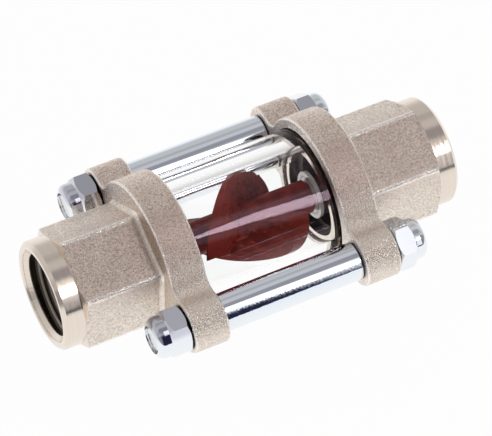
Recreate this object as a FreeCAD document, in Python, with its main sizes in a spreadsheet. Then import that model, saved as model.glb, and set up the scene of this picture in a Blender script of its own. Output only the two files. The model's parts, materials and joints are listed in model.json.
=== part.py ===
"""In-line flow indicator: two cast pipe fittings clamp a glass tube with an impeller inside.

Millimetres. X runs along the pipe from the inlet (-X) to the outlet (+X), the tie studs lie at -Y
(front) and +Y (back), and Z is up. The origin is on the pipe's axis, midway between the fittings.
"""
import FreeCAD, Part
import math
import os
import Sketcher

SHEET = "dims"
HALF_TURN = FreeCAD.Rotation(FreeCAD.Vector(0, 0, 1), 180)
CORNER_RATIO = 2 / math.sqrt(3)     # a hexagon's size across corners for one across flats
SMALL = 0.01                        # tolerance for finding edges by their place

DIMENSIONS = [
    # The two fittings
    ("overall_length", 123.0),
    ("collar_diameter", 31.8),
    ("collar_length", 6.0),
    ("collar_chamfer", 1.0),
    ("hex_flats", 31.5),
    ("hex_corner_radius", 0.7),
    ("hex_chamfer_length", 0.9),
    ("hex_root_radius", 1.6),
    ("flange_gap", 42.6),
    ("flange_thickness", 10.6),
    ("flange_diameter", 46.3),
    ("flange_edge_radius", 0.7),
    ("stud_spacing", 55.8),
    ("lobe_radius", 7.7),
    ("lobe_neck_radius", 4.0),
    ("thread_diameter", 26.44),
    ("thread_depth", 17.0),
    ("mouth_chamfer", 0.5),
    ("flow_bore", 20.0),
    ("flow_cone_length", 3.0),
    ("lip_wall", 1.65),
    ("lip_rise", 0.3),
    # The glass and its gaskets
    ("glass_diameter", 40.0),
    ("glass_wall", 5.7),
    ("glass_seat_depth", 4.2),
    ("glass_clearance", 0.3),
    ("glass_edge", 0.5),
    ("gasket_thickness", 1.5),
    # The tie studs, sleeves and lock nuts
    ("stud_diameter", 8.0),
    ("stud_chamfer", 0.8),
    ("stud_recess", 0.6),
    ("stud_hole_clearance", 0.3),
    ("sleeve_diameter", 11.0),
    ("sleeve_chamfer", 0.3),
    ("nut_flats", 13.0),
    ("nut_hex_height", 6.2),
    ("nut_height", 9.9),
    ("nut_corner_chamfer", 1.2),
    ("nut_collar_diameter", 12.0),
    ("nut_collar_radius", 2.3),
    ("nut_thread_clearance", 0.05),
    ("inlet_front_nut_turn", 21.5),
    ("inlet_back_nut_turn", 24.5),
    ("outlet_front_nut_turn", 8.5),
    ("outlet_back_nut_turn", -8.5),
    ("insert_diameter", 9.8),
    ("insert_thickness", 1.6),
    # The impeller and its bearings
    ("impeller_tip_clearance", 0.9),
    ("impeller_blade_angle", 46.0),
    ("impeller_blade_phase", 62.2),
    ("impeller_blade_shift", 1.5),
    ("impeller_root_thickness", 4.9),
    ("impeller_root_drop", 1.3),
    ("impeller_front_lean", 0.67),
    ("impeller_back_lean", 2.8),
    ("impeller_rim_radius", 0.35),
    ("impeller_hub_diameter", 9.8),
    ("impeller_hub_edge", 0.6),
    ("impeller_end_play", 0.4),
    ("axle_diameter", 4.0),
    ("axle_clearance", 0.04),
    ("axle_end_gap", 0.5),
    ("bush_diameter", 7.0),
    ("bush_length", 6.0),
    ("bush_flange_diameter", 14.0),
    ("bush_flange_thickness", 1.0),
    ("bearing_face_inset", 0.7),
    ("spider_hub_diameter", 13.2),
    ("spider_hub_cap", 2.5),
    ("spider_hub_edge", 1.0),
    ("spider_ring_diameter", 24.9),
    ("spider_ring_wall", 1.2),
    ("spider_inset", 3.5),
    ("spider_width", 5.0),
    ("spider_arm_thickness", 2.0),
    ("spider_arm_count", 3),
]


class Size:
    """A length that knows its number and the sheet expression that gives it."""

    def __init__(self, value, text):
        self.value = value
        self.text = text

    def join(self, other, symbol, value):
        text = other.text if isinstance(other, Size) else repr(other)
        return Size(value, f"({self.text} {symbol} {text})")

    def __add__(self, other):
        return self.join(other, "+", self.value + number(other))

    def __sub__(self, other):
        return self.join(other, "-", self.value - number(other))

    def __mul__(self, other):
        return self.join(other, "*", self.value * number(other))

    def __truediv__(self, other):
        return self.join(other, "/", self.value / number(other))

    def __neg__(self):
        return Size(-self.value, f"(-1 * {self.text})")


def number(size):
    return size.value if isinstance(size, Size) else size


class Dimensions:
    """Every driving dimension as an attribute, read back from the sheet."""

    def __init__(self, sheet, names):
        for name in names:
            setattr(self, name, Size(float(sheet.get(name)), f"{SHEET}.{name}"))


def make_sheet(doc):
    sheet = doc.addObject("Spreadsheet::Sheet", SHEET)
    for row, (name, value) in enumerate(DIMENSIONS, start=1):
        sheet.set(f"A{row}", name)
        sheet.set(f"B{row}", str(value))
        sheet.setAlias(f"B{row}", name)
    doc.recompute()
    return Dimensions(sheet, [name for name, value in DIMENSIONS])


doc = FreeCAD.newDocument("flow_indicator")
d = make_sheet(doc)
ZERO = d.overall_length * 0

# Places that several pieces share
half_gap = d.flange_gap / 2
flange_back = half_gap + d.flange_thickness
end_face = d.overall_length / 2
hex_end = end_face - d.collar_length
glass_bottom = half_gap + d.glass_seat_depth
glass_end = glass_bottom - d.gasket_thickness
glass_bore_radius = d.glass_diameter / 2 - d.glass_wall
lip_face = half_gap - d.lip_rise
spider_front = half_gap + d.spider_inset
spider_back = spider_front + d.spider_width
bearing_front = half_gap + d.bearing_face_inset
bush_face = bearing_front - d.bush_flange_thickness
bush_end = bearing_front + d.bush_length
impeller_half_length = bush_face - d.impeller_end_play


# Building blocks

def new_body(name):
    body = doc.addObject("PartDesign::Body", name)
    body.Label = name
    return body


def new_sketch(body, name, role, offset=None):
    sketch = body.newObject("Sketcher::SketchObject", f"{body.Name}_{name}")
    plane = [p for p in body.Origin.OriginFeatures if p.Role == role][0]
    sketch.AttachmentSupport = [(plane, "")]
    sketch.MapMode = "FlatFace"
    if offset is not None:
        sketch.setExpression("AttachmentOffset.Base.z", offset.text)
    return sketch


def pin_point(sketch, geometry, point, kind, size, label):
    """Holds a point at a signed distance from the sketch's origin, along one direction."""
    if size.value < 0:
        ends = (geometry, point, -1, 1)
        size = -size
    else:
        ends = (-1, 1, geometry, point)
    index = sketch.addConstraint(Sketcher.Constraint(kind, *ends, size.value))
    sketch.renameConstraint(index, label)
    sketch.setExpression(f"Constraints.{label}", size.text)


def draw_polygon(sketch, corners):
    """A closed outline of straight lines through corners, each a pair of sizes."""
    points = [FreeCAD.Vector(x.value, y.value, 0) for x, y in corners]
    count = len(points)
    for i in range(count):
        sketch.addGeometry(Part.LineSegment(points[i], points[(i + 1) % count]))
    for i in range(count):
        sketch.addConstraint(Sketcher.Constraint("Coincident", i, 2, (i + 1) % count, 1))
    for i, (x, y) in enumerate(corners):
        pin_point(sketch, i, 1, "DistanceX", x, f"across_{i}")
        pin_point(sketch, i, 1, "DistanceY", y, f"up_{i}")


def draw_circles(sketch, centres, diameter):
    """Equal circles whose centres lie on the sketch's horizontal axis."""
    for i, across in enumerate(centres):
        centre = FreeCAD.Vector(across.value, 0, 0)
        sketch.addGeometry(Part.Circle(centre, FreeCAD.Vector(0, 0, 1), diameter.value / 2))
        pin_point(sketch, i, 3, "DistanceX", across, f"across_{i}")
        pin_point(sketch, i, 3, "DistanceY", ZERO, f"up_{i}")
        index = sketch.addConstraint(Sketcher.Constraint("Diameter", i, diameter.value))
        sketch.renameConstraint(index, f"diameter_{i}")
        sketch.setExpression(f"Constraints.diameter_{i}", diameter.text)


def hexagon(flats):
    """Corners of a hexagon with a corner at the top and flats at both sides."""
    radius = flats * (CORNER_RATIO / 2)
    half = radius / 2
    side = flats / 2
    return [(ZERO, radius), (-side, half), (-side, -half), (ZERO, -radius), (side, -half), (side, half)]


def add_pad(body, sketch, length):
    pad = body.newObject("PartDesign::Pad", f"{sketch.Name}_pad")
    pad.Profile = sketch
    pad.setExpression("Length", length.text)
    doc.recompute()
    return pad


def add_pocket(body, sketch, length):
    """Cuts from the sketch towards +X."""
    pocket = body.newObject("PartDesign::Pocket", f"{sketch.Name}_pocket")
    pocket.Profile = sketch
    pocket.Reversed = True
    pocket.setExpression("Length", length.text)
    doc.recompute()
    return pocket


def add_turned(body, name, corners, kind="Revolution"):
    """Turns an outline of (x, radius) corners about the X axis, to add or to cut."""
    sketch = new_sketch(body, name, "XZ_Plane")
    draw_polygon(sketch, corners)
    turned = body.newObject(f"PartDesign::{kind}", f"{sketch.Name}_turned")
    turned.Profile = sketch
    turned.ReferenceAxis = (sketch, ["H_Axis"])
    turned.Angle = 360
    doc.recompute()
    return turned


def add_fillet(body, base, radius, wanted):
    edges = [f"Edge{i}" for i, edge in enumerate(base.Shape.Edges, start=1) if wanted(edge)]
    fillet = body.newObject("PartDesign::Fillet", f"{base.Name}_fillet")
    fillet.Base = (base, edges)
    fillet.setExpression("Radius", radius.text)
    doc.recompute()
    return fillet


def lies_at(edge, x):
    return all(abs(vertex.X - x) < SMALL for vertex in edge.Vertexes)


def axis_distances(edge):
    points = edge.discretize(5)
    return [math.hypot(p.y, p.z) for p in points]


def runs_along(edge, distance):
    """True for a straight edge along X at the given distance from the axis."""
    first, last = edge.firstVertex().Point, edge.lastVertex().Point
    if abs(first.x - last.x) < SMALL:
        return False
    return all(abs(r - distance) < SMALL for r in axis_distances(edge))


def place(body, x=None, y=None, turned=False):
    if turned:
        body.Placement = FreeCAD.Placement(FreeCAD.Vector(0, 0, 0), HALF_TURN)
    if x is not None:
        body.setExpression("Placement.Base.x", x.text)
    if y is not None:
        body.setExpression("Placement.Base.y", y.text)


def turned_piece(name, corners, x=None, y=None, turned=False):
    body = new_body(name)
    add_turned(body, "outline", corners)
    place(body, x, y, turned)
    return body


def tube_outline(start, end, inner, outer, chamfer):
    """Half section of a tube along X with its outer edges broken."""
    return [(start, inner), (end, inner), (end, outer - chamfer), (end - chamfer, outer),
            (start + chamfer, outer), (start, outer - chamfer)]


# Pieces

def make_fitting(name, turned):
    """Cast fitting: flange with two lobes, hexagon, collar and the stepped bore."""
    body = new_body(name)
    flange_radius = d.flange_diameter / 2
    hex_radius = d.hex_flats * (CORNER_RATIO / 2)
    stud_offset = d.stud_spacing / 2

    disc = new_sketch(body, "disc", "YZ_Plane", half_gap)
    draw_circles(disc, [ZERO], d.flange_diameter)
    add_pad(body, disc, d.flange_thickness)
    lobes = new_sketch(body, "lobes", "YZ_Plane", half_gap)
    draw_circles(lobes, [-stud_offset, stud_offset], d.lobe_radius * 2)
    flange = add_pad(body, lobes, d.flange_thickness)
    flange = add_fillet(body, flange, d.lobe_neck_radius,
                        lambda edge: runs_along(edge, flange_radius.value))
    add_fillet(body, flange, d.flange_edge_radius,
               lambda edge: lies_at(edge, half_gap.value) or lies_at(edge, flange_back.value))

    hex_sketch = new_sketch(body, "hexagon", "YZ_Plane", flange_back)
    draw_polygon(hex_sketch, hexagon(d.hex_flats))
    hex_pad = add_pad(body, hex_sketch, hex_end - flange_back)
    hex_pad = add_fillet(body, hex_pad, d.hex_corner_radius,
                         lambda edge: runs_along(edge, hex_radius.value))
    add_fillet(body, hex_pad, d.hex_root_radius,
               lambda edge: lies_at(edge, flange_back.value) and max(axis_distances(edge)) < hex_radius.value)

    collar_radius = d.collar_diameter / 2
    beyond = hex_radius + d.hex_corner_radius
    slope = d.hex_chamfer_length * ((beyond - collar_radius) / (hex_radius - collar_radius))
    add_turned(body, "hex_chamfer", [
        (hex_end, collar_radius), (hex_end, beyond), (hex_end - slope, beyond)], "Groove")
    add_turned(body, "collar", [
        (hex_end - d.collar_chamfer, ZERO), (end_face, ZERO), (end_face, collar_radius - d.collar_chamfer),
        (end_face - d.collar_chamfer, collar_radius), (hex_end - d.collar_chamfer, collar_radius)])

    glass_seat = d.glass_diameter / 2 + d.glass_clearance
    ring_radius = d.spider_ring_diameter / 2
    thread_radius = d.thread_diameter / 2
    thread_end = end_face - d.thread_depth
    add_turned(body, "bore", [
        (half_gap, ZERO), (half_gap, glass_seat), (glass_bottom, glass_seat),
        (glass_bottom, ring_radius), (spider_back, ring_radius),
        (spider_back + d.flow_cone_length, d.flow_bore / 2), (thread_end, d.flow_bore / 2),
        (thread_end, thread_radius), (end_face - d.mouth_chamfer, thread_radius),
        (end_face, thread_radius + d.mouth_chamfer), (end_face, ZERO)], "Groove")
    # The lip stands on the seat's bottom, inside the glass
    lip_radius = ring_radius + d.lip_wall
    lip_root = glass_bottom + d.lip_wall
    add_turned(body, "lip", [
        (lip_face, ring_radius), (lip_root, ring_radius), (lip_root, lip_radius), (lip_face, lip_radius)])

    holes = new_sketch(body, "stud_holes", "YZ_Plane", half_gap)
    draw_circles(holes, [-stud_offset, stud_offset], d.stud_diameter + d.stud_hole_clearance * 2)
    add_pocket(body, holes, d.flange_thickness)
    place(body, turned=turned)


def make_glass():
    half_edge = glass_end - d.glass_edge
    outer = d.glass_diameter / 2
    inner = glass_bore_radius
    turned_piece("glass_tube", [
        (-half_edge, inner), (half_edge, inner), (glass_end, inner + d.glass_edge),
        (glass_end, outer - d.glass_edge), (half_edge, outer), (-half_edge, outer),
        (-glass_end, outer - d.glass_edge), (-glass_end, inner + d.glass_edge)])


def make_gasket(name, turned):
    inner = d.spider_ring_diameter / 2 + d.lip_wall + d.glass_clearance
    outer = d.glass_diameter / 2
    turned_piece(name, [(glass_end, inner), (glass_bottom, inner), (glass_bottom, outer), (glass_end, outer)],
                 turned=turned)


def make_tie(side, offset):
    """Stud and spacer sleeve of one side."""
    stud_radius = d.stud_diameter / 2
    stud_end = flange_back + d.nut_height - d.stud_recess
    shank = stud_end - d.stud_chamfer
    tip = stud_radius - d.stud_chamfer
    turned_piece(f"{side}_tie_stud", [
        (-stud_end, ZERO), (stud_end, ZERO), (stud_end, tip), (shank, stud_radius),
        (-shank, stud_radius), (-stud_end, tip)], y=offset)
    sleeve_bore = stud_radius + d.stud_hole_clearance
    turned_piece(f"{side}_spacer_sleeve",
                 tube_outline(-half_gap, half_gap, sleeve_bore, d.sleeve_diameter / 2, d.sleeve_chamfer),
                 y=offset)


def make_nut(end, side, offset, turned):
    """Lock nut: chamfered hexagon, rounded collar and the nylon ring inside the collar."""
    base = -flange_back if turned else flange_back
    nut = new_body(f"{end}_{side}_lock_nut")
    sketch = new_sketch(nut, "hexagon", "YZ_Plane")
    draw_polygon(sketch, hexagon(d.nut_flats))
    # Each nut stops where it was tightened to
    turn = getattr(d, f"{end}_{side}_nut_turn")
    sketch.setExpression("AttachmentOffset.Rotation.Angle", turn.text)
    add_pad(nut, sketch, d.nut_hex_height)

    # Turned chamfers round both ends of the hexagon
    corner = d.nut_flats * (CORNER_RATIO / 2)
    inside = d.nut_flats / 2 - d.nut_corner_chamfer / 2
    beyond = corner + d.nut_corner_chamfer
    slope = d.nut_corner_chamfer * ((beyond - inside) / (corner - inside))
    top = d.nut_hex_height
    add_turned(nut, "seat_chamfer", [(ZERO, inside), (slope, beyond), (ZERO, beyond)], "Groove")
    add_turned(nut, "top_chamfer", [(top, inside), (top, beyond), (top - slope, beyond)], "Groove")

    # The collar that is rolled over the insert
    collar = d.nut_collar_diameter / 2
    collar_foot = top - d.nut_corner_chamfer
    rolled = add_turned(nut, "collar", [
        (collar_foot, ZERO), (d.nut_height, ZERO), (d.nut_height, collar), (collar_foot, collar)])
    add_fillet(nut, rolled, d.nut_collar_radius, lambda edge: lies_at(edge, d.nut_height.value))

    bore = d.stud_diameter / 2 + d.nut_thread_clearance
    insert = d.insert_diameter / 2
    insert_end = d.nut_height - d.nut_collar_radius / 2
    insert_start = insert_end - d.insert_thickness
    add_turned(nut, "bore", [
        (ZERO, ZERO), (ZERO, bore), (insert_start, bore), (insert_start, insert),
        (insert_end, insert), (insert_end, bore), (d.nut_height, bore), (d.nut_height, ZERO)], "Groove")
    place(nut, base, offset, turned)
    turned_piece(f"{end}_{side}_nut_insert", [
        (insert_start, bore), (insert_end, bore), (insert_end, insert), (insert_start, insert)],
        base, offset, turned)


def make_bearing(end, turned):
    """Three-armed spider with a blind hub, and the flanged bush in it."""
    spider = new_body(f"{end}_bearing_spider")
    ring = d.spider_ring_diameter / 2
    ring_inside = ring - d.spider_ring_wall
    hub = d.spider_hub_diameter / 2
    hub_back = bush_end + d.spider_hub_cap
    add_turned(spider, "ring", [
        (spider_front, ring_inside), (spider_back, ring_inside), (spider_back, ring), (spider_front, ring)])
    # One arm from the axis into the ring, then copies round the axis
    arm_sketch = new_sketch(spider, "arm", "YZ_Plane", spider_front)
    reach = ring - d.spider_ring_wall / 2
    half = d.spider_arm_thickness / 2
    draw_polygon(arm_sketch, [(-half, ZERO), (half, ZERO), (half, reach), (-half, reach)])
    arm = add_pad(spider, arm_sketch, d.spider_width)
    pattern = spider.newObject("PartDesign::PolarPattern", f"{spider.Name}_arms")
    pattern.Originals = [arm]
    pattern.Axis = (arm_sketch, ["N_Axis"])
    pattern.Angle = 360
    pattern.setExpression("Occurrences", d.spider_arm_count.text)
    spider.Tip = pattern
    doc.recompute()
    add_turned(spider, "hub", [
        (bearing_front, ZERO), (hub_back, ZERO), (hub_back, hub - d.spider_hub_edge * 2),
        (hub_back - d.spider_hub_edge, hub), (bearing_front, hub)])
    bush = d.bush_diameter / 2
    add_turned(spider, "seat", [
        (bearing_front, ZERO), (bush_end, ZERO), (bush_end, bush), (bearing_front, bush)], "Groove")
    place(spider, turned=turned)

    bore = d.axle_diameter / 2 + d.axle_clearance
    flange = d.bush_flange_diameter / 2
    turned_piece(f"{end}_bearing_bush", [
        (bush_face, bore), (bush_end, bore), (bush_end, bush), (bearing_front, bush),
        (bearing_front, flange), (bush_face, flange)], turned=turned)


def make_axle():
    end = bush_end - d.axle_end_gap
    radius = d.axle_diameter / 2
    edge = d.axle_clearance * 5
    turned_piece("impeller_axle", [
        (-end, ZERO), (end, ZERO), (end, radius - edge), (end - edge, radius),
        (-(end - edge), radius), (-end, radius - edge)])


def make_impeller():
    """Two flat blades set across the axis and trimmed to the glass's bore, on a bored hub."""
    radius = (glass_bore_radius - d.impeller_tip_clearance).value
    half_root = d.impeller_root_thickness.value / 2
    drop = d.impeller_root_drop.value
    angle = d.impeller_blade_angle.value
    phase = d.impeller_blade_phase.value
    hub = d.impeller_hub_diameter.value / 2
    hub_half = impeller_half_length.value
    origin = FreeCAD.Vector(0, 0, 0)
    forward = FreeCAD.Vector(1, 0, 0)
    up = FreeCAD.Vector(0, 0, 1)

    # One blade stands up from the axis. Its faces lean in towards the tip, the back one more
    top = radius + half_root
    half_chord = top / math.sin(math.radians(angle))
    front_slope = d.impeller_front_lean.value / radius
    back_slope = d.impeller_back_lean.value / radius
    corners = [FreeCAD.Vector(-half_chord, y, z) for y, z in (
        (-half_root - front_slope * drop, -drop), (half_root + back_slope * drop, -drop),
        (half_root - back_slope * top, top), (-half_root + front_slope * top, top))]
    blade = Part.Face(Part.makePolygon(corners + corners[:1])).extrude(forward * 2 * half_chord)
    blade.rotate(origin, up, angle)

    # The bore's cylinder cuts the rim, which then loses its sharp edges
    trim = Part.makeCylinder(radius, 4 * half_chord, forward * -2 * half_chord, forward)
    trim.rotate(origin, forward, 180)
    blade = blade.common(trim).Solids[0]
    rim = [e for e in blade.Edges if e.Curve.TypeId == "Part::GeomEllipse"]
    blade = blade.makeFillet(d.impeller_rim_radius.value, rim)
    blade.translate(forward * -d.impeller_blade_shift.value)
    blade.rotate(origin, forward, phase - 90)
    other = blade.copy()
    other.rotate(origin, forward, 180)

    barrel = Part.makeCylinder(hub, 2 * hub_half, forward * -hub_half, forward)
    barrel = barrel.makeChamfer(d.impeller_hub_edge.value,
                                [e for e in barrel.Edges if e.isClosed() and e.Length > hub])
    hole = Part.makeCylinder(d.axle_diameter.value / 2, 2 * hub_half, forward * -hub_half, forward)
    impeller = doc.addObject("Part::Feature", "impeller")
    impeller.Label = "impeller"
    impeller.Shape = barrel.fuse([blade, other]).cut(hole).removeSplitter()


def write_parts(names):
    """Checks the whole document, then writes one file for each piece."""
    doc.recompute()
    failed = [o.Name for o in doc.Objects if "Invalid" in o.State or "Error" in o.State]
    if failed:
        raise RuntimeError(f"these objects failed: {failed}")
    os.makedirs("parts", exist_ok=True)
    for name in names:
        shape = doc.getObject(name).Shape
        if shape.isNull() or not shape.isValid() or len(shape.Solids) != 1:
            raise RuntimeError(f"{name} is not one valid solid")
        shape.exportStep(f"parts/{name}.step")
        print(f"{name}: {shape.Volume:.1f} mm3")


stud_sides = {"front": -(d.stud_spacing / 2), "back": d.stud_spacing / 2}
for end, turned in (("inlet", True), ("outlet", False)):
    make_fitting(f"{end}_fitting", turned)
    make_gasket(f"{end}_gasket", turned)
    make_bearing(end, turned)
    for side, offset in stud_sides.items():
        make_nut(end, side, offset, turned)
for side, offset in stud_sides.items():
    make_tie(side, offset)
make_glass()
make_axle()
make_impeller()
write_parts([o.Name for o in doc.Objects
             if o.TypeId in ("PartDesign::Body", "Part::Feature")])
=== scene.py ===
"""Looks of the in-line flow indicator, built around its solids.

Metres. X runs along the pipe from the inlet (-X) to the outlet (+X), the tie studs lie at -Y (front)
and +Y (back), and Z is up. The origin is on the pipe's axis, midway between the fittings.
"""
import json
import math

import bmesh
import bpy
from mathutils import Matrix, Vector


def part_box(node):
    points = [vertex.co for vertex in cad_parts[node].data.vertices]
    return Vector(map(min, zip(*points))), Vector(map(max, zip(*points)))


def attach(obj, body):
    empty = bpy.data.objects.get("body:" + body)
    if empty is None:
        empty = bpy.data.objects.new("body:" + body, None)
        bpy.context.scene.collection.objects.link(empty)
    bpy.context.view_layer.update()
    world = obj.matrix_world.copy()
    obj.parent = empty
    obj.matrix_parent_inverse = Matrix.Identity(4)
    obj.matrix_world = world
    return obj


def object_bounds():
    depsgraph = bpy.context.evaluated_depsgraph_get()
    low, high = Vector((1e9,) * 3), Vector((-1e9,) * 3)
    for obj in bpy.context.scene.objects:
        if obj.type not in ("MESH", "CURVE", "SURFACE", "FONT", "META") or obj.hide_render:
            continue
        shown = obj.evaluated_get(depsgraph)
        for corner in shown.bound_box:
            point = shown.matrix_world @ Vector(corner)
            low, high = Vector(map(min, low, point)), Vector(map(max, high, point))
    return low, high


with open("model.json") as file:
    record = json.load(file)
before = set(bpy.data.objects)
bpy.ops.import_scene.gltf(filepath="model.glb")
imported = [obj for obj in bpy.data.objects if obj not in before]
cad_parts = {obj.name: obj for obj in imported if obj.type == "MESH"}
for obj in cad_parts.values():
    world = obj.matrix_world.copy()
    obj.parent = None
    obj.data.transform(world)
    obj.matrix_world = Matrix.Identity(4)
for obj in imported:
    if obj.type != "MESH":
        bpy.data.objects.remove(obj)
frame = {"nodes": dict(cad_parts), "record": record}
cad_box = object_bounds()
nodes = frame["nodes"]
scene = bpy.context.scene
scene.view_settings.view_transform = "Standard"

MM = 0.001

# Places that the finishes and threads follow, as distances from the middle or from the axis
END_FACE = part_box("outlet_fitting")[1].x
HEX_END = END_FACE - 6.0 * MM
FLANGE_FRONT = 21.3 * MM
FLANGE_BACK = 31.9 * MM
ROOT_END = FLANGE_BACK + 1.6 * MM
CONE_START = HEX_END - 0.9 * MM
COLLAR_RADIUS = 15.9 * MM
HEX_CORNER = 18.187 * MM
PORT_RADIUS = 13.22 * MM
THREAD_CREST = 12.06 * MM
FLOW_BORE = 10.0 * MM
LIP_RADIUS = 14.1 * MM
SEAT_RADIUS = 20.3 * MM
SEAT_END = 25.5 * MM
MOUTH_CHAMFER = 0.5 * MM
PORT_BACK = END_FACE - 19.0 * MM
SCUFF_HEIGHT = 3.1 * MM
BUSH_GROOVE = 5.5 * MM

# Values that the finishes use
SKIN_RELIEF = 0.16 * MM         # depth of the casting's relief
COLLAR_TAPER = 0.085            # slope of the inlet's collar
STUD_PITCH = 1.25 * MM
GLASS_INDEX = 1.47
NICKEL_LOW = (0.76, 0.67, 0.58)
NICKEL_HIGH = (0.86, 0.77, 0.68)
ROUND_LINES = (1, 400, 400)     # stretches noise into lines round the pipe


# Shading

class Value:
    """A shader value that works in Python expressions."""

    def __init__(self, shading, socket):
        self.shading = shading
        self.socket = socket

    def __add__(self, other):
        return self.shading.maths("ADD", self, other)

    def __radd__(self, other):
        return self.shading.maths("ADD", other, self)

    def __sub__(self, other):
        return self.shading.maths("SUBTRACT", self, other)

    def __rsub__(self, other):
        return self.shading.maths("SUBTRACT", other, self)

    def __mul__(self, other):
        return self.shading.maths("MULTIPLY", self, other)

    def __truediv__(self, other):
        return self.shading.maths("DIVIDE", self, other)

    def __neg__(self):
        return self.shading.maths("MULTIPLY", self, -1.0)

    def __pow__(self, other):
        return self.shading.maths("POWER", self, other)

    def __abs__(self):
        return self.shading.maths("ABSOLUTE", self)


class Shading:
    """The nodes of one material or of the world."""

    def __init__(self, tree):
        self.tree = tree

    def node(self, kind, settings=None, sockets=None, output=0):
        """Adds a node, with its settings set first, and gives one of its outputs, or several."""
        made = self.tree.nodes.new(f"ShaderNode{kind}")
        for key, value in (settings or {}).items():
            if key == "stops":
                self.set_stops(made.color_ramp, value)
            else:
                setattr(made, key, value)
        for key, value in (sockets or {}).items():
            self.feed(made.inputs[key], value)
        if isinstance(output, tuple):
            return [Value(self, made.outputs[key]) for key in output]
        return Value(self, made.outputs[output])

    def set_stops(self, ramp, stops):
        while len(ramp.elements) < len(stops):
            ramp.elements.new(1.0)
        for element, (position, colour) in zip(ramp.elements, stops):
            element.position = position
            element.color = (*colour, 1.0)

    def feed(self, socket, value):
        if isinstance(value, Value):
            self.tree.links.new(value.socket, socket)
        elif isinstance(value, tuple) and len(value) == 3 and socket.type == "RGBA":
            socket.default_value = (*value, 1.0)
        else:
            socket.default_value = value

    def maths(self, operation, *values):
        return self.node("Math", {"operation": operation}, dict(enumerate(values)))

    def mix(self, amount, first, second):
        """Blends two colours."""
        return self.node("Mix", {"data_type": "RGBA"}, {0: amount, 6: first, 7: second}, 2)

    def step(self, value, low, high):
        """Rises smoothly from 0 at low to 1 at high."""
        return self.node("MapRange", {"interpolation_type": "SMOOTHSTEP"},
                         {"Value": value, "From Min": low, "From Max": high})

    def fall(self, value, low, high):
        """Falls smoothly from 1 at low to 0 at high."""
        return 1 - self.step(value, low, high)

    def larger(self, *values):
        result = values[0]
        for value in values[1:]:
            result = self.maths("MAXIMUM", result, value)
        return result


class Finish(Shading):
    """One procedural material, with a pattern space in metres fixed to the piece."""

    def __init__(self, name, **constants):
        self.material = bpy.data.materials.new(name)
        self.material.use_nodes = True
        super().__init__(self.material.node_tree)
        self.shader = self.tree.nodes["Principled BSDF"]
        self.output = self.tree.nodes["Material Output"]
        self.place = self.node("TexCoord", output="Object")
        self.x, self.y, self.z = self.node("SeparateXYZ", {}, {0: self.place}, (0, 1, 2))
        self.along = abs(self.x)
        self.reach = (self.y * self.y + self.z * self.z) ** 0.5
        self.paint(**constants)

    def noise(self, size, detail=2.0, roughness=0.5, stretch=(1, 1, 1)):
        """Soft noise whose grains are about size metres across, times stretch."""
        place = self.node("Mapping", {}, {"Vector": self.place, "Scale": tuple(1 / s for s in stretch)})
        return self.node("TexNoise", {}, {"Vector": place, "Scale": 1 / size, "Detail": detail,
                                          "Roughness": roughness})

    def cells(self, size):
        """Distance to the nearest of many points about size metres apart."""
        return self.node("TexVoronoi", {}, {"Vector": self.place, "Scale": 1 / size})

    def speckle(self, size):
        """A random grey for each cell about size metres across."""
        colour = self.node("TexVoronoi", {}, {"Vector": self.place, "Scale": 1 / size}, "Color")
        return self.node("SeparateColor", {}, {0: colour})

    def bump(self, height, depth):
        """Turns a height of 0 to 1 into relief of that depth in metres."""
        relief = self.node("Bump", {}, {"Height": height, "Distance": depth, "Strength": 1.0})
        self.feed(self.shader.inputs["Normal"], relief)

    def paint(self, **inputs):
        for name, value in inputs.items():
            self.feed(self.shader.inputs[name.replace("_", " ")], value)


def casting_bores(finish):
    """Where the casting is its flow bore or its threaded port."""
    in_flow_bore = finish.fall(finish.reach, FLOW_BORE + 0.2 * MM, FLOW_BORE + 0.5 * MM)
    in_port = finish.fall(finish.reach, PORT_RADIUS + 0.02 * MM, PORT_RADIUS + 0.06 * MM)
    in_port = in_port * finish.step(finish.along, PORT_BACK, PORT_BACK + MM)
    return finish.larger(in_flow_bore, in_port)


def casting_seat(finish):
    """Where the casting is the lip inside the glass's end, and where it is the seat round that lip."""
    by_glass = finish.fall(finish.along, SEAT_END + 0.1 * MM, SEAT_END + 0.3 * MM)
    on_lip = by_glass * finish.fall(finish.reach, LIP_RADIUS + 0.02 * MM, LIP_RADIUS + 0.1 * MM)
    in_seat = by_glass * finish.step(finish.along, FLANGE_FRONT + 0.5 * MM, FLANGE_FRONT + 0.7 * MM)
    in_seat = in_seat * finish.fall(finish.reach, SEAT_RADIUS + 0.02 * MM, SEAT_RADIUS + 0.1 * MM)
    in_seat = in_seat * finish.step(finish.reach, LIP_RADIUS - 0.1 * MM, LIP_RADIUS - 0.02 * MM)
    return on_lip, in_seat


def casting_cone(finish):
    """Where the hexagon's corners are turned down to the collar."""
    slope = (HEX_CORNER - COLLAR_RADIUS) / (HEX_END - CONE_START)
    cone = COLLAR_RADIUS + (HEX_END - finish.along) * slope
    on_cone = finish.step(finish.reach - cone, -0.12 * MM, -0.04 * MM)
    return on_cone * finish.step(finish.along, CONE_START - 0.3 * MM, CONE_START)


def casting_edges(finish, off_flange):
    """Where the flange's and the hexagon's edges are rubbed smooth and painted bright as a highlight, in
    patches.
    """
    front_edge = finish.fall(abs(finish.along - FLANGE_FRONT - 0.3 * MM), 0.15 * MM, 0.4 * MM)
    back_edge = finish.fall(abs(finish.along - FLANGE_BACK + 0.3 * MM), 0.15 * MM, 0.4 * MM)
    hex_edge = off_flange * finish.step(finish.reach, HEX_CORNER - 0.55 * MM, HEX_CORNER - 0.25 * MM)
    patches = finish.step(finish.noise(0.8 * MM, 2.0), 0.25, 0.5)
    return finish.larger(front_edge, back_edge, hex_edge) * patches


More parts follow.
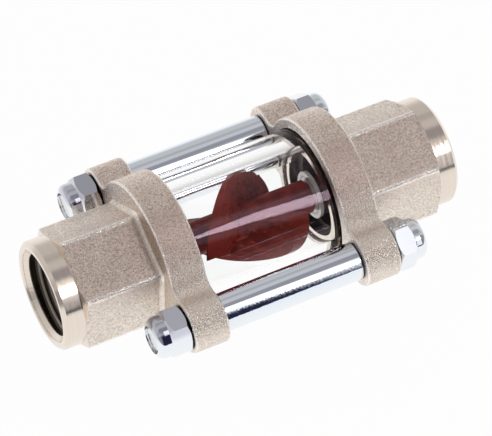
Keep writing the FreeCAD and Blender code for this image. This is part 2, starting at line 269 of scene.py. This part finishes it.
def nickel_casting():
    """Nickel-plated casting: blasted grain, with bright turned collar, cone and hexagon root."""
    finish = Finish("nickel_casting", Metallic=1.0)
    off_flange = finish.step(finish.along, FLANGE_BACK + 0.02 * MM, FLANGE_BACK + 0.1 * MM)
    on_flange = 1 - off_flange
    on_collar = finish.step(finish.along, HEX_END - 0.05 * MM, HEX_END)
    on_root = off_flange - finish.step(finish.along, ROOT_END - 0.2 * MM, ROOT_END + 0.1 * MM)
    in_bore = casting_bores(finish)
    on_lip, in_seat = casting_seat(finish)
    turned = finish.larger(on_collar, casting_cone(finish), on_root * 0.45, in_bore, on_lip)
    blasted = 1 - turned
    worn_and_highlit = casting_edges(finish, off_flange)

    # Blasted skin, with painted brown shade along the upper front and painted pale light at the front
    grain = finish.noise(0.33 * MM, 3.0, 0.65)
    pits = finish.cells(0.45 * MM)
    speck = finish.speckle(0.28 * MM)
    cloud = finish.noise(7 * MM, 3.0)
    stops = [(0.3, (0.34, 0.275, 0.225)), (0.48, (0.78, 0.66, 0.575)), (0.70, (1.0, 0.95, 0.87))]
    tint = finish.node("ValToRGB", {"stops": stops}, {0: grain * 0.65 + speck * 0.35})
    tint = finish.mix(finish.step(cloud, 0.3, 0.7) * 0.2, tint, (0.66, 0.55, 0.50))
    facing = (finish.z * 0.866 - finish.y * 0.5) / finish.reach
    upper_front_shade = finish.step(facing, 0.5, 0.95) * off_flange
    upper_front_shade = upper_front_shade + finish.step(facing, 0.9, 0.99) * on_flange
    # Painted brown shade on the faces that look up and to the front
    tint = finish.mix(upper_front_shade * 0.26, tint, (0.45, 0.30, 0.26))
    tint = finish.mix(on_flange * 0.13, tint, (0.78, 0.50, 0.44))
    forward = -finish.y / finish.reach
    # Painted pale light on the faces that look to the front
    front = finish.step(forward, 0.72, 0.95)
    tint = finish.mix(front * (0.45 - off_flange * 0.2), tint, (1.0, 0.93, 0.82))
    # Painted highlight along the rubbed edges
    tint = finish.mix(worn_and_highlit * 0.85, tint, (1.0, 0.95, 0.90))
    coarse = finish.step(forward, 0.5, 0.8) * on_flange

    # Turned metal, with painted shade inside the bores and painted brown shade in the glass's seat
    lathe = finish.noise(0.16 * MM, 1.0, 0.5, ROUND_LINES)
    brushed = finish.noise(0.06 * MM, 0.0, 0.5, ROUND_LINES)
    bright = finish.mix(lathe, NICKEL_LOW, NICKEL_HIGH)
    # Painted shade inside the flow bore and the port
    bright = finish.mix(in_bore, bright, (0.10, 0.087, 0.075))
    # Painted shade in the glass's seat, lighter at its outer wall
    seat_wall = finish.step(finish.reach, SEAT_RADIUS - 0.4 * MM, SEAT_RADIUS - 0.1 * MM)
    seat = finish.mix(seat_wall, (0.065, 0.050, 0.043), (0.42, 0.36, 0.31))

    rough = (0.27 + grain * 0.14 - worn_and_highlit * 0.18 - coarse * 0.06) * blasted
    rough = rough + (0.12 + lathe * 0.07) * turned
    finish.paint(Base_Color=finish.mix(in_seat, finish.mix(turned, tint, bright), seat), Roughness=rough)
    skin = (grain * 0.8 + pits * 0.6) * (1 + coarse * 0.35)
    height = skin * blasted + (lathe * 0.03 + brushed * 0.05) * turned
    # The inlet's collar is turned with a slight taper
    inlet_collar = finish.step(-finish.x, HEX_END - 0.05 * MM, HEX_END)
    taper = inlet_collar * (finish.x + HEX_END) * (COLLAR_TAPER / SKIN_RELIEF)
    finish.bump(height - taper, SKIN_RELIEF)
    return finish.material


def bright_steel():
    """Bright zinc plating with draw lines and a scuffed front sleeve; a painted bluish reflection above,
    painted shade on the inlet nut's top and painted shadow where the ends meet the flanges.
    """
    finish = Finish("bright_steel", Metallic=1.0)
    drawn = finish.noise(0.25 * MM, 2.0, 0.5, (60, 1, 1))
    specks = finish.noise(0.5 * MM, 2.0, 0.6)
    on_sleeve = finish.fall(finish.along, FLANGE_FRONT, FLANGE_BACK)
    on_inlet_nut = finish.step(-finish.x, FLANGE_FRONT, FLANGE_BACK)
    # Painted bluish reflection on the upper side
    upper = finish.step(finish.z, -1 * MM, 3 * MM) * (0.4 + on_sleeve * 0.6)
    scuffed = finish.fall(abs(finish.z - SCUFF_HEIGHT), 0.5 * MM, 1.1 * MM)
    scuffed = scuffed * on_sleeve * finish.step(-finish.y, 0.0, MM)
    # Painted shade on the inlet nut's top
    nut_top_shade = finish.step(finish.z, 2.5 * MM, 4.5 * MM) * on_inlet_nut
    # Painted shadow where sleeves and nuts meet the flanges
    flange_contact_shade = finish.step(finish.along, FLANGE_FRONT - 0.5 * MM, FLANGE_FRONT - 0.3 * MM)
    flange_contact_shade = flange_contact_shade * finish.fall(finish.along, FLANGE_BACK + 0.4 * MM, FLANGE_BACK + 0.6 * MM)
    tone = finish.mix(upper, (0.88, 0.895, 0.90), (0.76, 0.83, 0.92))
    tone = finish.mix(drawn, tone, (0.86, 0.91, 0.97))
    tone = finish.mix(nut_top_shade, tone, (0.62, 0.63, 0.71))
    tone = finish.mix(flange_contact_shade, tone, (0.03, 0.03, 0.03))
    finish.paint(Base_Color=tone, Roughness=0.03 + drawn * 0.03)
    finish.bump(specks * (0.1 + scuffed * 0.9) + drawn * 0.1, 0.02 * MM)
    return finish.material


def stud_steel():
    """Plain steel stud with rolled thread flanks shown in relief."""
    finish = Finish("stud_steel", Metallic=1.0)
    stain = finish.noise(1.5 * MM, 3.0)
    ridge = finish.maths("SINE", finish.x * (2 * math.pi / STUD_PITCH))
    finish.paint(Base_Color=finish.mix(stain, (0.74, 0.75, 0.75), (0.86, 0.87, 0.88)),
                 Roughness=0.15 + stain * 0.15)
    finish.bump(ridge * 0.5 + 0.5, 0.2 * MM)
    return finish.material


def axle_steel():
    """Ground steel with fine rings round it."""
    finish = Finish("axle_steel", Metallic=1.0)
    rings = finish.noise(0.12 * MM, 2.0, 0.5, (1, 60, 60))
    finish.paint(Base_Color=finish.mix(rings, (0.55, 0.55, 0.55), (0.70, 0.70, 0.71)),
                 Roughness=0.18 + rings * 0.12)
    finish.bump(rings, 0.01 * MM)
    return finish.material


def clear_glass():
    """Clear bloomed glass with faint smears and draw waves. Seen squarely, it mirrors little."""
    finish = Finish("clear_glass", Transmission_Weight=1.0, IOR=GLASS_INDEX,
                    Specular_Tint=(1.0, 0.78, 0.95))
    smear = finish.noise(9 * MM, 3.0, 0.5, (3, 1, 1))
    wave = finish.noise(5 * MM, 1.0, 0.5, (8, 1, 1))
    finish.paint(Base_Color=finish.mix(smear, (0.996, 1.0, 0.998), (1.0, 1.0, 1.0)),
                 Roughness=finish.step(smear, 0.5, 0.9) * 0.02)
    finish.bump(wave, 0.01 * MM)
    squarely = finish.fall(finish.node("Fresnel", {}, {"IOR": GLASS_INDEX}), 0.3, 0.6)
    bloomed = finish.node("BsdfRefraction", {}, {"Color": (1.0, 1.0, 1.0), "Roughness": 0.0,
                                                 "IOR": GLASS_INDEX})
    plain = Value(finish, finish.shader.outputs[0])
    finish.feed(finish.output.inputs["Surface"],
                finish.node("MixShader", {}, {0: squarely * 0.5, 1: plain, 2: bloomed}))
    return finish.material


def red_plastic():
    """Dark red plastic, paler towards the thin rims and with orange streaks, both a painted glow of
    light that gets through.
    """
    finish = Finish("red_plastic", IOR=1.49, Specular_IOR_Level=0.05)
    cloud = finish.noise(4 * MM, 3.0)
    flow = finish.noise(1.2 * MM, 2.0, 0.5, (6, 1, 1))
    rim_glow = finish.step(finish.reach, 8.5 * MM, 12.5 * MM)
    glow_streak = finish.step(finish.noise(1.6 * MM, 2.0, 0.5, (5, 1, 1)), 0.58, 0.72)
    tone = finish.mix(finish.step(cloud, 0.3, 0.7), (0.15, 0.014, 0.008), (0.27, 0.027, 0.015))
    # Painted glow of light through the thin rims and in streaks
    tone = finish.mix(rim_glow * 0.5, tone, (0.40, 0.055, 0.032))
    tone = finish.mix(glow_streak * 0.5, tone, (0.48, 0.080, 0.020))
    finish.paint(Base_Color=tone, Roughness=0.22 + flow * 0.14)
    finish.bump(flow, 0.02 * MM)
    return finish.material


def black_rubber():
    """Matt black rubber with a fine bloom."""
    finish = Finish("black_rubber")
    bloom = finish.noise(0.6 * MM, 3.0)
    finish.paint(Base_Color=finish.mix(bloom, (0.018, 0.017, 0.017), (0.045, 0.043, 0.042)),
                 Roughness=0.45 + bloom * 0.25)
    finish.bump(bloom, 0.03 * MM)
    return finish.material


def moulded_plastic(name, low, high):
    """Opaque moulded plastic with a soft cloudy tone."""
    finish = Finish(name, Specular_IOR_Level=0.25)
    cloud = finish.noise(2.5 * MM, 3.0)
    skin = finish.noise(0.5 * MM, 2.0)
    finish.paint(Base_Color=finish.mix(cloud, low, high), Roughness=0.32 + skin * 0.2)
    finish.bump(skin, 0.02 * MM)
    return finish.material


def bush_plastic():
    """Pale glossy bush with a turned groove round its flange, painted dark as shade."""
    finish = Finish("pale_plastic", Coat_Weight=1.0)
    cloud = finish.noise(1.6 * MM, 3.0)
    skin = finish.noise(0.5 * MM, 2.0)
    groove = finish.fall(abs(finish.reach - BUSH_GROOVE), 0.2 * MM, 0.5 * MM)
    tone = finish.mix(finish.step(cloud, 0.3, 0.7), (0.90, 0.86, 0.76), (1.0, 0.98, 0.92))
    # Painted shade in the groove
    tone = finish.mix(groove, tone, (0.22, 0.19, 0.16))
    finish.paint(Base_Color=tone, Roughness=0.12 + skin * 0.2)
    finish.bump(skin * 0.1 - groove, 0.1 * MM)
    return finish.material


def thread_nickel():
    """Bright plating on the countersunk first ridge, and behind it a mottled thread in painted shade
    with painted highlights on its crests.
    """
    finish = Finish("thread_nickel")
    stain = finish.noise(1.2 * MM, 3.0)
    crest = finish.fall(finish.reach, THREAD_CREST + 0.04 * MM, THREAD_CREST + 0.54 * MM)
    lead = finish.step(finish.along, END_FACE - 1.75 * MM, END_FACE - 1.65 * MM)
    # Painted shade on the thread inside the port, and painted highlights on its crests
    tone = finish.mix(stain, (0.20, 0.17, 0.13), (0.34, 0.29, 0.23))
    tone = finish.mix(crest * 0.9, tone, (1.0, 0.93, 0.82))
    bright = finish.mix(stain, NICKEL_LOW, NICKEL_HIGH)
    finish.paint(Base_Color=finish.mix(lead, tone, bright), Metallic=0.3 + lead * 0.7,
                 Roughness=0.2 + stain * 0.15 + (1 - lead) * 0.15)
    finish.bump(stain, 0.02 * MM)
    return finish.material


FINISHES = {
    "nickel_casting": nickel_casting(),
    "bright_steel": bright_steel(),
    "stud_steel": stud_steel(),
    "axle_steel": axle_steel(),
    "clear_glass": clear_glass(),
    "red_plastic": red_plastic(),
    "black_rubber": black_rubber(),
    "pale_plastic": bush_plastic(),
    "dark_plastic": moulded_plastic("dark_plastic", (0.014, 0.012, 0.009), (0.030, 0.026, 0.020)),
    "nylon": moulded_plastic("nylon", (0.76, 0.76, 0.72), (0.86, 0.86, 0.83)),
    "thread_nickel": thread_nickel(),
}


def dress_solids():
    """Gives every solid the finish that its material slot names."""
    for entry in frame["record"]["subparts"]:
        mesh = nodes[entry["node"]].data
        mesh.materials.clear()
        mesh.materials.append(FINISHES[entry["material_slot"]])


# New pieces

THREAD_PITCH = 1.814 * MM
THREAD_STEPS = 64       # sections in one turn
THREAD_TURNS = 7


def port_thread(name, side):
    """Countersunk first ridge of the pipe thread in one port, and the ridge that winds on behind it."""
    bm = bmesh.new()
    base = PORT_RADIUS + 0.03 * MM
    rise = base - THREAD_CREST
    mouth = END_FACE - MOUTH_CHAMFER
    foot, tip = 0.46 * THREAD_PITCH, 0.10 * THREAD_PITCH
    lead = [(mouth, base), (mouth - rise, THREAD_CREST), (mouth - rise - tip, THREAD_CREST),
            (mouth - rise - foot, base)]
    first = thread_section(bm, lead)
    bmesh.ops.spin(bm, geom=first, cent=(0, 0, 0), axis=(1, 0, 0), angle=2 * math.pi, steps=THREAD_STEPS,
                   use_merge=True)
    bmesh.ops.delete(bm, geom=first, context="FACES_ONLY")
    start = mouth - rise - 2 * foot - tip
    ridge = [(start + foot, base), (start + tip, THREAD_CREST), (start - tip, THREAD_CREST),
             (start - foot, base)]
    first = thread_section(bm, ridge)
    bmesh.ops.spin(bm, geom=first, cent=(0, 0, 0), axis=(1, 0, 0), angle=-2 * math.pi * THREAD_TURNS,
                   dvec=(-THREAD_PITCH / THREAD_STEPS, 0, 0), steps=THREAD_STEPS * THREAD_TURNS)
    if side < 0:
        bmesh.ops.rotate(bm, verts=bm.verts, cent=(0, 0, 0), matrix=Matrix.Rotation(math.pi, 3, "Z"))
    bmesh.ops.recalc_face_normals(bm, faces=bm.faces)
    return add_piece(name, bm, FINISHES["thread_nickel"], "housing")


def thread_section(bm, corners):
    """One face through corners given as places along the axis and radii."""
    section = [bm.verts.new((along, 0, radius)) for along, radius in corners]
    loop = [bm.edges.new((section[i], section[i - 1])) for i in range(len(section))]
    return bmesh.ops.contextual_create(bm, geom=loop)["faces"]


def add_piece(name, bm, material, body):
    mesh = bpy.data.meshes.new(name)
    bm.to_mesh(mesh)
    bm.free()
    mesh.materials.append(material)
    piece = bpy.data.objects.new(name, mesh)
    scene.collection.objects.link(piece)
    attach(piece, body)
    return piece


# Studio

def white_floor():
    """Pale floor under the flanges. It shows white and keeps a faint shadow."""
    bm = bmesh.new()
    bmesh.ops.create_grid(bm, x_segments=1, y_segments=1, size=0.45)
    bmesh.ops.translate(bm, verts=bm.verts, vec=(0, 0, cad_box[0].z - 0.05 * MM))
    mesh = bpy.data.meshes.new("floor")
    bm.to_mesh(mesh)
    bm.free()
    floor = bpy.data.objects.new("floor", mesh)
    scene.collection.objects.link(floor)

    paper = Finish("white_paper")
    fibre = paper.noise(2 * MM, 2.0)
    paper.paint(Base_Color=paper.mix(fibre, (0.88, 0.88, 0.88), (0.91, 0.91, 0.91)), Roughness=0.9)
    camera, glossy, through = paper.node("LightPath", {}, {}, (
        "Is Camera Ray", "Is Glossy Ray", "Is Transmission Ray"))
    shown = paper.maths("MINIMUM", camera + glossy + through, 1.0)
    glow = paper.node("Emission", {}, {"Color": (1.0, 1.0, 1.0), "Strength": 1.0})
    lit = Value(paper, paper.shader.outputs[0])
    both = paper.node("MixShader", {}, {0: shown * 0.975, 1: lit, 2: glow})
    paper.feed(paper.output.inputs["Surface"], both)
    mesh.materials.append(paper.material)


def studio_world():
    """Soft surroundings: dark room ahead, grey overhead, pale behind. The camera sees plain white."""
    world = bpy.data.worlds.new("studio")
    world.use_nodes = True
    scene.world = world
    studio = Shading(world.node_tree)
    direction = studio.node("TexCoord", output="Generated")
    side, depth, height = studio.node("SeparateXYZ", {}, {0: direction}, (0, 1, 2))
    # From below the back, round by the front horizon at 0.5 and the top at 0.75, to the back at 1
    turn = studio.maths("ARCTAN2", height, -depth) * (0.5 / math.pi) + 0.5
    surroundings = studio.node("ValToRGB", {"stops": [
        (0.0, (0.90, 0.90, 0.90)), (0.467, (0.92, 0.92, 0.92)), (0.492, (0.02, 0.02, 0.05)),
        (0.62, (0.02, 0.02, 0.05)), (0.645, (0.16, 0.155, 0.17)), (0.655, (0.50, 0.48, 0.47)),
        (0.68, (0.50, 0.48, 0.47)), (0.692, (0.33, 0.315, 0.34)), (0.745, (0.33, 0.315, 0.34)),
        (0.765, (0.62, 0.605, 0.60)), (0.80, (0.62, 0.605, 0.60)), (0.833, (0.44, 0.43, 0.43)),
        (0.867, (0.58, 0.57, 0.56)), (0.944, (0.60, 0.59, 0.58)), (0.972, (0.68, 0.67, 0.66)),
        (1.0, (0.90, 0.90, 0.90))]}, {0: turn})
    # Paler to either side, and least so over the horizon
    sides = studio.step(abs(side), 0.36, 0.78) * (1 - studio.step(turn, 0.48, 0.492) * 0.65)
    surroundings = studio.mix(sides, surroundings, (0.92, 0.90, 0.88))
    camera = studio.node("LightPath", {}, {}, "Is Camera Ray")
    shown = studio.mix(camera, surroundings, (1.0, 1.0, 1.0))
    background = world.node_tree.nodes["Background"]
    studio.feed(background.inputs["Color"], shown)


SOFTBOX_AIM = Vector((-0.314, 0.657, -0.685))


def standing_light(name, place, size, watts, colour):
    """Tall softbox that stands to the right of the camera and leans over to face the pipe."""
    lamp = bpy.data.lights.new(name, "AREA")
    lamp.shape = "RECTANGLE"
    lamp.size, lamp.size_y = size
    lamp.energy = watts
    lamp.color = colour
    holder = bpy.data.objects.new(name, lamp)
    holder.location = place
    holder.rotation_euler = SOFTBOX_AIM.to_track_quat("-Z", "Y").to_euler()
    scene.collection.objects.link(holder)


def photo_camera():
    """Long lens from the front left, above."""
    camera = bpy.data.cameras.new("photo_camera")
    camera.sensor_fit = "HORIZONTAL"
    camera.sensor_width = 36.0
    camera.lens = 232.15
    place = Vector((-0.27775, -0.53753, 0.65170))
    aim = Vector((0.31413, 0.60435, -0.73217))
    holder = bpy.data.objects.new("photo_camera", camera)
    holder.location = place
    holder.rotation_euler = aim.to_track_quat("-Z", "Y").to_euler()
    scene.collection.objects.link(holder)
    scene.camera = holder


dress_solids()
port_thread("inlet_thread", -1)
port_thread("outlet_thread", 1)
white_floor()
studio_world()
standing_light("softbox_core", (0.2669, -0.5446, 0.5225), (0.064, 0.29), 0.66, (1.0, 0.97, 0.96))
standing_light("softbox_skirt", (0.3202, -0.6491, 0.4270), (0.166, 1.03), 0.50, (1.0, 0.98, 0.97))
photo_camera()
